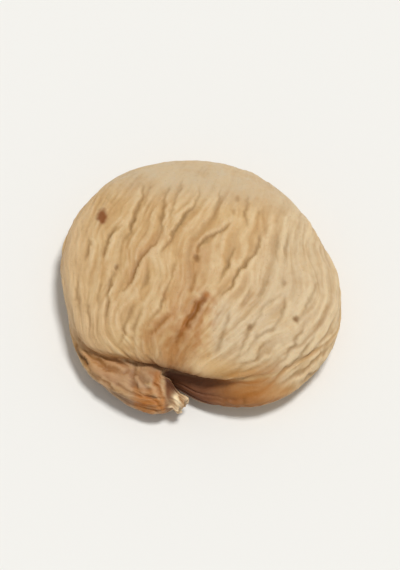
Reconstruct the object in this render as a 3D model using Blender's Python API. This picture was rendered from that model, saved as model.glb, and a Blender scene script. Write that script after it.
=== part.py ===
"""A dried fig, flattened as it is pressed for packing, lying on its flat underside.

The fig grew and dried as one piece: a thin, leathery disc whose neck is folded down and round along the front
edge, under the overhanging lip of the upper face, and ends in the short cut stub of the stem.

Frame, in metres: +Z up, the underside at Z = 0, +X to the right and -Y towards the stem side. The origin is at
the middle of the footprint.
"""

import math

import bmesh
import bpy
import numpy as np

MM = 0.001

# Driving dimensions, in millimetres.
CENTRE = (0.253, -0.439)  # plan centre of the disc, which puts the footprint's middle at the origin
WAIST_Z = 5.6  # height of the widest line of the disc
DOME = 8.6  # rise of the upper face above the widest line
BELLY = 6.6  # drop of the lower face, before it is pressed flat at Z = 0
STEM_R = 1.75  # radius of the cut stem
COLLAR = (2.1, 1.6)  # how far the neck stands out past the stem, sideways and upwards
NECK_GROWTH = (2.5, 1.0)  # further growth of the neck towards the body, sideways and upwards
NECK_ARC = math.radians(25)  # share of the body, from its stem pole, that the neck is drawn out of
STEM_POLE = (-0.36, -0.90, -0.22)  # direction of the stem pole from the disc's centre
EYE_DROP = math.radians(48)  # how far the far pole, the eye, lies under the back edge
EYE_TURN = math.radians(30)  # and how far it is turned to the right
FURROW_Z = 7.0  # height of the furrow under the lip
FURROW_W = 1.25  # its half width

# Each list gives (bearing in degrees about the disc's centre, value in mm); +X is 0 and +Y is 90.
OUTLINE = [(-75, 26.9), (-65, 27.7), (-55, 28.3), (-46, 28.5), (-37, 28.8), (-28, 28.6), (-19, 28.1), (-10, 27.5),
           (0, 26.8), (14, 25.9), (28, 25.5), (43, 25.6), (59, 26.2), (70, 26.7), (82, 27.3), (95, 27.6),
           (110, 28.3), (123, 28.9), (136, 28.9), (148, 28.7), (159, 28.5), (170, 28.0), (182, 27.2), (194, 26.9),
           (207, 27.9), (218, 28.5), (227, 28.5), (236, 28.2), (245, 27.4), (256, 26.4), (268, 26.4)]
# How far the lip of the upper face stands back from the outline.
LIP_BACK = [(-90, 4.0), (-78, 3.3), (-68, 3.0), (-49, 1.9), (-35, 0.9), (-20, 0.2), (0, 0), (90, 0), (180, 0),
            (196, 0.1), (207, 0.5), (214, 1.0), (223, 2.9), (232, 4.9), (241, 5.6), (251, 5.2), (262, 4.5)]
# How deep the furrow under the lip is.
FURROW = [(-90, 6.6), (-82, 5.0), (-75, 2.4), (-68, 0.9), (-58, 0.3), (-45, 0), (0, 0), (90, 0), (180, 0),
          (196, 0.2), (204, 0.9), (213, 1.8), (222, 2.4), (234, 3.4), (246, 5.2), (258, 6.8)]
# How far the lower edge stands back where the end of the neck lies in front of it.
NOTCH = [(-90, 0.2), (-84, 0.0), (-78, 0), (-30, 0), (0, 0), (90, 0), (180, 0), (225, 0), (238, 0), (247, 1.6),
         (254, 3.8), (260, 4.0), (265, 1.7)]
# How much wider the furrow is below its middle: it opens into a hollow beside the stem and is pinched along the neck.
HOLLOW = [(-90, 2.2), (-80, 1.7), (-70, 0.7), (-58, 0), (0, 0), (90, 0), (180, 0), (192, 0), (206, -0.35), (222, -0.45),
          (236, -0.35), (247, 0.1), (256, 1.4)]
# The line of the neck from inside the body to the cut end of the stem: x and y from the disc's centre, z.
SPINE = [(-11.5, -18.6, 4.2), (-11.2, -20.5, 4.0), (-9.7, -21.8, 3.9), (-7.8, -22.5, 4.0), (-5.4, -23.6, 4.4),
         (-3.4, -25.3, 4.2)]

RINGS = 60  # rings of faces between the two poles
SIDES = 84  # faces round each ring
RING_CROWDING = 1.6  # over 1, the rings lie closer together towards the stem
EDGE_CROWDING = 0.5  # share by which the meridians lie closer together along the edge, where the lip is
EDGE_LAM = math.radians(14)  # the meridian that the lip follows


def smooth_step(x, a, b):
    t = np.clip((x - a) / (b - a), 0, 1)
    return t * t * (3 - 2 * t)


def bell(x, centre, half_width):
    return np.exp(-(((x - centre) / half_width) ** 2))


def turned(v, angle, axis):
    """v turned about X (axis 0) or Z (axis 2) by an angle that may differ from point to point."""
    c, s = np.cos(angle), np.sin(angle)
    i, j = ((1, 2) if axis == 0 else (0, 1))
    out = v.copy()
    out[..., i] = v[..., i] * c - v[..., j] * s
    out[..., j] = v[..., i] * s + v[..., j] * c
    return out


def round_the_edge(bearing, knots):
    """A smooth closed curve through (bearing, value) knots."""
    k = np.array(sorted(knots), float)
    at = np.concatenate([k[-2:, 0] - 360, k[:, 0], k[:2, 0] + 360])
    value = np.concatenate([k[-2:, 1], k[:, 1], k[:2, 1]])
    x = np.mod(bearing - k[0, 0], 360) + k[0, 0]
    i = np.clip(np.searchsorted(at, x, side="right") - 1, 1, len(at) - 3)
    span = at[i + 1] - at[i]
    t = (x - at[i]) / span
    m0 = (value[i + 1] - value[i - 1]) / (at[i + 1] - at[i - 1]) * span
    m1 = (value[i + 2] - value[i]) / (at[i + 2] - at[i]) * span
    return (
        (2 * t**3 - 3 * t**2 + 1) * value[i]
        + (t**3 - 2 * t**2 + t) * m0
        + (3 * t**2 - 2 * t**3) * value[i + 1]
        + (t**3 - t**2) * m1
    )


def directions(phi, lam):
    """Unit directions of a sphere whose meridians run from the stem pole to the eye, as the flesh of the fig does."""
    n = np.stack([np.sin(phi) * np.cos(lam), -np.cos(phi) + 0 * lam, np.sin(phi) * np.sin(lam)], -1)
    far = smooth_step(phi, 0.35, math.pi + 0.25)
    n = turned(n, -EYE_DROP * far, 0)
    n = turned(n, -EYE_TURN * far, 2)
    d = np.array(STEM_POLE) / np.linalg.norm(STEM_POLE)
    near = 1 - smooth_step(phi, 0.3, 2.6)
    n = turned(n, -math.asin(d[2]) * near, 0)
    return turned(n, math.atan2(d[0], -d[1]) * near, 2)


def body(n):
    """The pressed disc with its lip and furrow, for directions n."""
    rho = np.hypot(n[..., 0], n[..., 1])
    bearing = np.arctan2(n[..., 1], n[..., 0])
    deg = np.degrees(bearing)
    up = np.clip(n[..., 2], 0, 1)
    down = np.clip(-n[..., 2], 0, 1)
    z = WAIST_Z + DOME * (1 - 0.16 * n[..., 1] - 0.02 * n[..., 0]) * up**0.80 - BELLY * down**0.72
    furrow = round_the_edge(deg, FURROW)
    r = round_the_edge(deg, OUTLINE) * rho**0.86
    r = r - round_the_edge(deg, LIP_BACK) * smooth_step(z, 5.0, 8.6) * smooth_step(rho, 0.25, 0.92)
    width = FURROW_W + np.where(z < FURROW_Z, round_the_edge(deg, HOLLOW), 0)
    r = r - furrow * bell(z, FURROW_Z, width) * smooth_step(rho, 0.6, 0.97)
    r = r - round_the_edge(deg, NOTCH) * (1 - smooth_step(z, 5.0, 7.2)) * smooth_step(rho, 0.5, 0.95)
    z = z - 0.9 * (furrow / 6.8) * bell(z, 8.6, 1.3) * smooth_step(rho, 0.6, 0.97)
    return np.stack([CENTRE[0] + r * np.cos(bearing), CENTRE[1] + r * np.sin(bearing), z], -1)


def along(u, points):
    """Places and directions along a smooth curve through the points, from the last (u = 0) to the first (u = 1)."""
    p = np.array(points[::-1], float) + np.array([CENTRE[0], CENTRE[1], 0])
    t = np.clip(u, 0, 1) * (len(p) - 1)
    i = np.minimum(t.astype(int), len(p) - 2)
    f = (t - i)[..., None]
    p = np.vstack([2 * p[0] - p[1], p, 2 * p[-1] - p[-2]])
    a, b, c, d = p[i], p[i + 1], p[i + 2], p[i + 3]
    place = 0.5 * (2 * b + (c - a) * f + (2 * a - 5 * b + 4 * c - d) * f**2 + (3 * b - a - 3 * c + d) * f**3)
    way = 0.5 * ((c - a) + 2 * (2 * a - 5 * b + 4 * c - d) * f + 3 * (3 * b - a - 3 * c + d) * f**2)
    return place, way


def surface(phi, lam):
    """The fig's surface, in mm: phi runs from the stem (0) to the eye (pi), lam goes round, 90 degrees being up."""
    phi, lam = np.broadcast_arrays(phi, lam)
    disc = body(directions(phi, lam))
    u = np.clip(phi / NECK_ARC, 0, 1)
    cap = 0.14  # this share of the neck's rings closes the cut end
    tip = -along(u, SPINE)[1]
    tip /= np.linalg.norm(tip, axis=-1, keepdims=True)
    up = np.array([0, 0, 1.0]) - tip * tip[..., 2:3]
    up /= np.linalg.norm(up, axis=-1, keepdims=True)
    side = np.cross(up, tip)
    middle = along((u - 0.9 * cap) / (1 - 0.9 * cap), SPINE)[0]
    stem = np.where(u < cap, STEM_R * (u / cap) ** 0.8, STEM_R)
    collar = smooth_step(u, 0.22, 0.40)
    grown = smooth_step(u, 0.30, 1.0)
    waist = bell(u, 0.27, 0.09)  # the neck draws in above the stem, on the side of the hollow
    pinch = 0.42 * collar + 0.40 * waist
    wide = (stem + COLLAR[0] * collar + NECK_GROWTH[0] * grown) * (1 - pinch * np.clip(np.cos(lam + 0.3), 0, 1))
    high = (stem + COLLAR[1] * collar + NECK_GROWTH[1] * grown) * (1 - 0.25 * waist * np.clip(np.sin(lam + 0.5), 0, 1))
    neck = middle + (wide * np.cos(lam))[..., None] * side + (high * np.sin(lam))[..., None] * up
    join = smooth_step(u, 0.48, 0.95)[..., None]
    p = np.where((phi < NECK_ARC)[..., None], neck * (1 - join) + disc * join, disc)
    p[..., 2] = np.maximum(p[..., 2], 0.0)  # pressed flat underneath
    return p


def main():
    for old in list(bpy.data.objects):
        bpy.data.objects.remove(old, do_unlink=True)

    bm = bmesh.new()
    bmesh.ops.create_uvsphere(bm, u_segments=SIDES, v_segments=RINGS, radius=1.0)
    ball = np.array([v.co[:] for v in bm.verts])
    share = np.arccos(np.clip(ball[:, 2], -1, 1)) / math.pi
    phi = math.pi * share**RING_CROWDING
    lam = np.arctan2(ball[:, 1], ball[:, 0])
    lam = lam - EDGE_CROWDING / 2 * (np.sin(2 * (lam - EDGE_LAM)) + math.sin(2 * EDGE_LAM))
    points = surface(phi, lam) * MM
    for vertex, point in zip(bm.verts, points):
        vertex.co = point
    bmesh.ops.recalc_face_normals(bm, faces=bm.faces)
    if bm.calc_volume(signed=True) < 0:
        bmesh.ops.reverse_faces(bm, faces=bm.faces)
    mesh = bpy.data.meshes.new("dried_fig")
    bm.to_mesh(mesh)
    bm.free()
    mesh.shade_smooth()

    skin = bpy.data.materials.new("skin")
    skin.use_nodes = True
    shader = skin.node_tree.nodes["Principled BSDF"]
    shader.inputs["Base Color"].default_value = (0.58, 0.40, 0.22, 1)
    shader.inputs["Roughness"].default_value = 0.62
    shader.inputs["Metallic"].default_value = 0.0
    mesh.materials.append(skin)

    fig = bpy.data.objects.new("dried_fig", mesh)
    group = bpy.data.collections.new("dried_fig_part")
    bpy.context.scene.collection.children.link(group)
    group.objects.link(fig)


main()
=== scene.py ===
import math

import bpy
import numpy as np
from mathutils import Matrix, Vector
from mathutils.bvhtree import BVHTree


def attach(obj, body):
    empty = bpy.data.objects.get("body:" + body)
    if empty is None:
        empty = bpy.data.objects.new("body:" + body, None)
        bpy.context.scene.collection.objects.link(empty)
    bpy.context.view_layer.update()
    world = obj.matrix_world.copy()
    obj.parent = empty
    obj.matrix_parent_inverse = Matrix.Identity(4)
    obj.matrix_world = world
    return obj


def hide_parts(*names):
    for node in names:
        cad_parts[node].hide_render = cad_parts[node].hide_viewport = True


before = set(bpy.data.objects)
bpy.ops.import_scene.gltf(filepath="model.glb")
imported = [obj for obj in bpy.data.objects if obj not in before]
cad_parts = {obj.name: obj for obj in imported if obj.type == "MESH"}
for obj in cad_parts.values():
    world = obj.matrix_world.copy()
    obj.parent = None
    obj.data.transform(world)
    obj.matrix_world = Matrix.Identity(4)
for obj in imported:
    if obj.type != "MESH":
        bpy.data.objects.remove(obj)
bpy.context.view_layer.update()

# ---------------------------------------------------------------------------------------------------------------
# The fig's form, in millimetres: the same dimensions and functions as the frame's solid.
# ---------------------------------------------------------------------------------------------------------------
MM = 0.001
CENTRE = (0.253, -0.439)
WAIST_Z, DOME, BELLY = 5.6, 8.6, 6.6
STEM_R = 1.75
COLLAR, NECK_GROWTH = (2.1, 1.6), (2.5, 1.0)
NECK_ARC = math.radians(25)
STEM_POLE = (-0.36, -0.90, -0.22)
EYE_DROP, EYE_TURN = math.radians(48), math.radians(30)
FURROW_Z, FURROW_W = 7.0, 1.25
OUTLINE = [(-75, 26.9), (-65, 27.7), (-55, 28.3), (-46, 28.5), (-37, 28.8), (-28, 28.6), (-19, 28.1), (-10, 27.5),
           (0, 26.8), (14, 25.9), (28, 25.5), (43, 25.6), (59, 26.2), (70, 26.7), (82, 27.3), (95, 27.6),
           (110, 28.3), (123, 28.9), (136, 28.9), (148, 28.7), (159, 28.5), (170, 28.0), (182, 27.2), (194, 26.9),
           (207, 27.9), (218, 28.5), (227, 28.5), (236, 28.2), (245, 27.4), (256, 26.4), (268, 26.4)]
LIP_BACK = [(-90, 4.0), (-78, 3.3), (-68, 3.0), (-49, 1.9), (-35, 0.9), (-20, 0.2), (0, 0), (90, 0), (180, 0),
            (196, 0.1), (207, 0.5), (214, 1.0), (223, 2.9), (232, 4.9), (241, 5.6), (251, 5.2), (262, 4.5)]
FURROW = [(-90, 6.6), (-82, 5.0), (-75, 2.4), (-68, 0.9), (-58, 0.3), (-45, 0), (0, 0), (90, 0), (180, 0),
          (196, 0.2), (204, 0.9), (213, 1.8), (222, 2.4), (234, 3.4), (246, 5.2), (258, 6.8)]
NOTCH = [(-90, 0.2), (-84, 0.0), (-78, 0), (-30, 0), (0, 0), (90, 0), (180, 0), (225, 0), (238, 0), (247, 1.6),
         (254, 3.8), (260, 4.0), (265, 1.7)]
HOLLOW = [(-90, 2.2), (-80, 1.7), (-70, 0.7), (-58, 0), (0, 0), (90, 0), (180, 0), (192, 0), (206, -0.35), (222, -0.45),
          (236, -0.35), (247, 0.1), (256, 1.4)]
SPINE = [(-11.5, -18.6, 4.2), (-11.2, -20.5, 4.0), (-9.7, -21.8, 3.9), (-7.8, -22.5, 4.0), (-5.4, -23.6, 4.4),
         (-3.4, -25.3, 4.2)]

ROWS, COLUMNS = 262, 376  # fine mesh: rings of faces from the stem to the eye, and faces round each


def smooth_step(x, a, b):
    t = np.clip((x - a) / (b - a), 0, 1)
    return t * t * (3 - 2 * t)


def bell(x, centre, half_width):
    return np.exp(-(((x - centre) / half_width) ** 2))


def turned(v, angle, axis):
    c, s = np.cos(angle), np.sin(angle)
    i, j = ((1, 2) if axis == 0 else (0, 1))
    out = v.copy()
    out[..., i] = v[..., i] * c - v[..., j] * s
    out[..., j] = v[..., i] * s + v[..., j] * c
    return out


def round_the_edge(bearing, knots):
    k = np.array(sorted(knots), float)
    at = np.concatenate([k[-2:, 0] - 360, k[:, 0], k[:2, 0] + 360])
    value = np.concatenate([k[-2:, 1], k[:, 1], k[:2, 1]])
    x = np.mod(bearing - k[0, 0], 360) + k[0, 0]
    i = np.clip(np.searchsorted(at, x, side="right") - 1, 1, len(at) - 3)
    span = at[i + 1] - at[i]
    t = (x - at[i]) / span
    m0 = (value[i + 1] - value[i - 1]) / (at[i + 1] - at[i - 1]) * span
    m1 = (value[i + 2] - value[i]) / (at[i + 2] - at[i]) * span
    return (
        (2 * t**3 - 3 * t**2 + 1) * value[i]
        + (t**3 - 2 * t**2 + t) * m0
        + (3 * t**2 - 2 * t**3) * value[i + 1]
        + (t**3 - t**2) * m1
    )


def directions(phi, lam):
    n = np.stack([np.sin(phi) * np.cos(lam), -np.cos(phi) + 0 * lam, np.sin(phi) * np.sin(lam)], -1)
    far = smooth_step(phi, 0.35, math.pi + 0.25)
    n = turned(n, -EYE_DROP * far, 0)
    n = turned(n, -EYE_TURN * far, 2)
    d = np.array(STEM_POLE) / np.linalg.norm(STEM_POLE)
    near = 1 - smooth_step(phi, 0.3, 2.6)
    n = turned(n, -math.asin(d[2]) * near, 0)
    return turned(n, math.atan2(d[0], -d[1]) * near, 2)


def body(n):
    rho = np.hypot(n[..., 0], n[..., 1])
    bearing = np.arctan2(n[..., 1], n[..., 0])
    deg = np.degrees(bearing)
    up = np.clip(n[..., 2], 0, 1)
    down = np.clip(-n[..., 2], 0, 1)
    z = WAIST_Z + DOME * (1 - 0.16 * n[..., 1] - 0.02 * n[..., 0]) * up**0.80 - BELLY * down**0.72
    furrow = round_the_edge(deg, FURROW)
    r = round_the_edge(deg, OUTLINE) * rho**0.86
    r = r - round_the_edge(deg, LIP_BACK) * smooth_step(z, 5.0, 8.6) * smooth_step(rho, 0.25, 0.92)
    width = FURROW_W + np.where(z < FURROW_Z, round_the_edge(deg, HOLLOW), 0)
    r = r - furrow * bell(z, FURROW_Z, width) * smooth_step(rho, 0.6, 0.97)
    r = r - round_the_edge(deg, NOTCH) * (1 - smooth_step(z, 5.0, 7.2)) * smooth_step(rho, 0.5, 0.95)
    z = z - 0.9 * (furrow / 6.8) * bell(z, 8.6, 1.3) * smooth_step(rho, 0.6, 0.97)
    return np.stack([CENTRE[0] + r * np.cos(bearing), CENTRE[1] + r * np.sin(bearing), z], -1)


def along(u, points):
    p = np.array(points[::-1], float) + np.array([CENTRE[0], CENTRE[1], 0])
    t = np.clip(u, 0, 1) * (len(p) - 1)
    i = np.minimum(t.astype(int), len(p) - 2)
    f = (t - i)[..., None]
    p = np.vstack([2 * p[0] - p[1], p, 2 * p[-1] - p[-2]])
    a, b, c, d = p[i], p[i + 1], p[i + 2], p[i + 3]
    place = 0.5 * (2 * b + (c - a) * f + (2 * a - 5 * b + 4 * c - d) * f**2 + (3 * b - a - 3 * c + d) * f**3)
    way = 0.5 * ((c - a) + 2 * (2 * a - 5 * b + 4 * c - d) * f + 3 * (3 * b - a - 3 * c + d) * f**2)
    return place, way


def surface(phi, lam):
    phi, lam = np.broadcast_arrays(phi, lam)
    disc = body(directions(phi, lam))
    u = np.clip(phi / NECK_ARC, 0, 1)
    cap = 0.14
    tip = -along(u, SPINE)[1]
    tip /= np.linalg.norm(tip, axis=-1, keepdims=True)
    up = np.array([0, 0, 1.0]) - tip * tip[..., 2:3]
    up /= np.linalg.norm(up, axis=-1, keepdims=True)
    side = np.cross(up, tip)
    middle = along((u - 0.9 * cap) / (1 - 0.9 * cap), SPINE)[0]
    stem = np.where(u < cap, STEM_R * (u / cap) ** 0.8, STEM_R)
    collar = smooth_step(u, 0.22, 0.40)
    grown = smooth_step(u, 0.30, 1.0)
    waist = bell(u, 0.27, 0.09)
    pinch = 0.42 * collar + 0.40 * waist
    wide = (stem + COLLAR[0] * collar + NECK_GROWTH[0] * grown) * (1 - pinch * np.clip(np.cos(lam + 0.3), 0, 1))
    high = (stem + COLLAR[1] * collar + NECK_GROWTH[1] * grown) * (1 - 0.25 * waist * np.clip(np.sin(lam + 0.5), 0, 1))
    neck = middle + (wide * np.cos(lam))[..., None] * side + (high * np.sin(lam))[..., None] * up
    join = smooth_step(u, 0.48, 0.95)[..., None]
    p = np.where((phi < NECK_ARC)[..., None], neck * (1 - join) + disc * join, disc)
    p[..., 2] = np.maximum(p[..., 2], 0.0)
    return p


# ---------------------------------------------------------------------------------------------------------------
# A grid over the surface. Rows follow the skin from the stem to the eye, columns go round. Points lie closer on the
# upper face, where the fine wrinkles are.
# ---------------------------------------------------------------------------------------------------------------
def spaced(weight_per_step, n, closed):
    """n values from 0 to 1 that split the running sum of the weights evenly."""
    total = np.concatenate([[0], np.cumsum(weight_per_step)])
    at = np.linspace(0, 1, len(total))
    want = np.arange(n) / n if closed else np.linspace(0, 1, n)
    return np.interp(want, total / total[-1], at)


def make_grid():
    fine_phi = np.linspace(0, math.pi, 721)
    tops = np.radians([40, 65, 90, 115, 140])
    line = surface(fine_phi[:, None], tops[None, :])
    step = np.linalg.norm(np.diff(line, axis=0), axis=-1).mean(1)
    mid = 0.5 * (fine_phi[1:] + fine_phi[:-1])
    density = 1 + 0.9 * (1 - smooth_step(mid, 0.5, 0.9)) - 0.35 * smooth_step(mid, 2.1, 2.7)
    phi = np.interp(spaced(step * density, ROWS + 1, False), np.linspace(0, 1, 721), fine_phi)
    fine_lam = np.linspace(0, 2 * math.pi, 1441)
    ring = surface(np.radians([[60.0], [80.0], [100.0]]), fine_lam[None, :])
    step = np.linalg.norm(np.diff(ring, axis=1), axis=-1).mean(0)
    high = ring[:, :-1, 2].mean(0)
    density = 0.42 + 0.58 * smooth_step(high, 2.0, 6.5)
    width = 61
    density = np.convolve(np.tile(density, 3), np.ones(width) / width, "same")[1440:2880]
    lam = np.interp(spaced(step * density, COLUMNS, True), np.linspace(0, 1, 1441), fine_lam)
    return phi[:, None], lam[None, :]


class Noise:
    """Smooth gradient noise in space, the same on every run."""

    def __init__(self, seed):
        rng = np.random.default_rng(seed)
        self.order = rng.permutation(256)
        g = rng.normal(size=(256, 3))
        self.slopes = g / np.linalg.norm(g, axis=1, keepdims=True)

    def __call__(self, p):
        base = np.floor(p).astype(np.int64)
        f = p - base
        w = f * f * f * (f * (f * 6 - 15) + 10)
        out = 0.0
        for dx in (0, 1):
            for dy in (0, 1):
                for dz in (0, 1):
                    a = self.order[(base[..., 0] + dx) & 255]
                    a = self.order[(a + base[..., 1] + dy) & 255]
                    a = self.order[(a + base[..., 2] + dz) & 255]
                    offset = f - np.array([dx, dy, dz])
                    value = (self.slopes[a] * offset).sum(-1)
                    wx = w[..., 0] if dx else 1 - w[..., 0]
                    wy = w[..., 1] if dy else 1 - w[..., 1]
                    wz = w[..., 2] if dz else 1 - w[..., 2]
                    out = out + value * wx * wy * wz
        return out


def unit(f):
    return (f - f.mean()) / f.std()


def drawn_out(f, rows):
    """f smoothed along the skin's own direction, with a Gaussian of so many rows."""
    reach = int(3 * rows)
    kernel = np.exp(-0.5 * (np.arange(-reach, reach + 1) / rows) ** 2)
    kernel /= kernel.sum()
    padded = np.concatenate([np.repeat(f[:1], reach, 0), f, np.repeat(f[-1:], reach, 0)], 0)
    return sum(k * padded[i : i + len(f)] for i, k in enumerate(kernel))


def shifted(f, columns):
    """f read so many columns further round, at each point."""
    at = np.arange(f.shape[1])[None, :] + columns
    low = np.floor(at).astype(int)
    part = at - low
    rows = np.arange(f.shape[0])[:, None]
    return f[rows, low % f.shape[1]] * (1 - part) + f[rows, (low + 1) % f.shape[1]] * part


def slanted(f, rows, slope):
    """As drawn_out, along lines that cross the skin's direction by slope columns a row."""
    lean = slope * np.arange(f.shape[0])[:, None] * np.ones((1, f.shape[1]))
    return shifted(drawn_out(shifted(f, lean), rows), -lean)


def blurred(f, columns, rows):
    for _ in range(3):
        g = sum(np.roll(f, k, 1) for k in range(-columns, columns + 1)) / (2 * columns + 1)
        f = drawn_out(g, rows)
    return f


def normals_of(p):
    down = np.gradient(p, axis=0)
    round_ = np.roll(p, -1, 1) - np.roll(p, 1, 1)
    n = np.cross(round_, down)
    size = np.linalg.norm(n, axis=-1, keepdims=True)
    n = n / np.maximum(size, 1e-9)
    n[0] = n[1].mean(0) / np.linalg.norm(n[1].mean(0))
    n[-1] = n[-2].mean(0) / np.linalg.norm(n[-2].mean(0))
    return n


PHI, LAM = make_grid()
P0 = surface(PHI, LAM)
N0 = normals_of(P0)
if (N0[ROWS // 2, :, 2] * (P0[ROWS // 2, :, 2] - 7)).sum() < 0:
    N0 = -N0
phi = np.broadcast_to(PHI, P0.shape[:2])
lam = np.broadcast_to(LAM, P0.shape[:2])
across = np.maximum(np.linalg.norm(np.roll(P0, -1, 1) - P0, axis=-1), 0.03)
row_mm = np.linalg.norm(np.diff(P0, axis=0), axis=-1)
along_mm = np.concatenate([[0], np.cumsum(np.median(row_mm[:, P0[ROWS // 3, :, 2] > 7], axis=1))])
row_size = float(np.median(row_mm[20:-20]))
cell = across * np.concatenate([row_mm, row_mm[-1:]], 0)

# Where a point lies as the photograph's camera sees it, in mm from the fig's middle.
VIEW_U = P0[..., 0] - 0.25
VIEW_V = 0.883 * (P0[..., 1] - 1.505) + 0.469 * (P0[..., 2] - 7)
facing = smooth_step(N0 @ np.array([0, -0.469, 0.883]), 0.05, 0.35)
LIP = [(-30, -8.0), (-26, -10.6), (-24.4, -12.6), (-22.4, -14.5), (-18.2, -15.9), (-14, -16.3), (-10.7, -17.2),
       (-7, -18.4), (-1.5, -19.5), (4.7, -20.3), (8.9, -20.3), (13, -19.6), (17, -18.4), (22, -15.0), (30, -8.0)]
lip_v = np.interp(VIEW_U, [q[0] for q in LIP], [q[1] for q in LIP])
top_face = facing * smooth_step(VIEW_V - lip_v, -0.2, 0.8) * smooth_step(P0[..., 2], 5.5, 7.5)
below_lip = facing * smooth_step(lip_v - VIEW_V, -0.1, 0.6)
neck_part = 1 - smooth_step(phi, 0.8 * NECK_ARC, 1.5 * NECK_ARC)
stem_part = 1 - smooth_step(phi / NECK_ARC, 0.26, 0.34)
cap_part = 1 - smooth_step(phi / NECK_ARC, 0.12, 0.15)
deg = np.degrees(np.arctan2(P0[..., 1] - CENTRE[1], P0[..., 0] - CENTRE[0]))
furrow_depth = round_the_edge(deg, FURROW)
in_furrow = np.clip(furrow_depth / 3.0, 0, 1) * bell(P0[..., 2], 7.0, 1.9) * smooth_step(phi, 0.5 * NECK_ARC, 0.9 * NECK_ARC)

# ---------------------------------------------------------------------------------------------------------------
# Wrinkles, in mm along the normal.
# ---------------------------------------------------------------------------------------------------------------
def noise_at(seed, size):
    return unit(Noise(seed)(P0 / size))


def folds(seed, size, length):
    """Soft folds along the skin: size across and length along, in mm."""
    return unit(drawn_out(Noise(seed)(P0 / size), length / row_size))


# How many columns the wrinkles stray from the skin's own lines.
wander = np.clip(
    (noise_at(11, 11.0) * 0.65 + noise_at(12, 5.0) * 0.20 + noise_at(13, 2.4) * 0.06) / across, -30, 30
)


def sown(seed, count, length, depth, width, lean, swell, keep=None):
    """A field of short creases, sown evenly, each with tapered ends. Lengths, depths and widths are (least, most) in
    mm, lean is the largest slope from the skin's direction, and swell the rise beside a crease over its depth."""
    rng = np.random.default_rng(seed)
    field = np.zeros(P0.shape[:2])
    cover = np.zeros(P0.shape[:2])
    area = np.cumsum(cell.ravel())
    n_rows, n_cols = field.shape
    for _ in range(count):
        best = None
        for _ in range(5):
            r, c = divmod(int(np.searchsorted(area, rng.random() * area[-1])), n_cols)
            r = min(max(r, 1), n_rows - 2)
            half = 0.5 * rng.uniform(*length) / row_size
            slope = rng.uniform(-1, 1) ** 3 * lean * row_size
            bend = rng.uniform(-1, 1) * 0.5
            rows = np.arange(max(1, int(r - half)), min(n_rows - 1, int(r + half) + 1))
            t = (rows - r) / half
            size = across[rows, c]
            centre = c + (slope * (rows - r) + bend * (1 - t * t)) / size
            used = cover[rows, np.round(centre).astype(int) % n_cols].mean()
            if best is None or used < best[0]:
                best = (used, rows, t, centre, size)
        used, rows, t, centre, size = best
        w = rng.uniform(*width)
        d = rng.uniform(*depth)
        d *= 1 if keep is None else keep[rows[len(rows) // 2], int(centre[len(rows) // 2]) % n_cols]
        side = rng.choice([-1, 1])
        taper = np.clip(1 - t * t, 0, 1) ** 0.75
        reach = np.ceil(5 * w / size).astype(int)
        for k, row in enumerate(rows):
            cols = np.arange(int(centre[k]) - reach[k], int(centre[k]) + reach[k] + 1)
            x = (cols - centre[k]) * size[k] / w
            shape = -1 / (1 + x * x) ** 1.6 + swell * np.exp(-((x - side * 1.9) ** 2) / 1.4)
            field[row, cols % n_cols] += d * taper[k] * shape
            cover[row, cols % n_cols] += taper[k] * np.exp(-x * x / 9)
    return field


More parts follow.
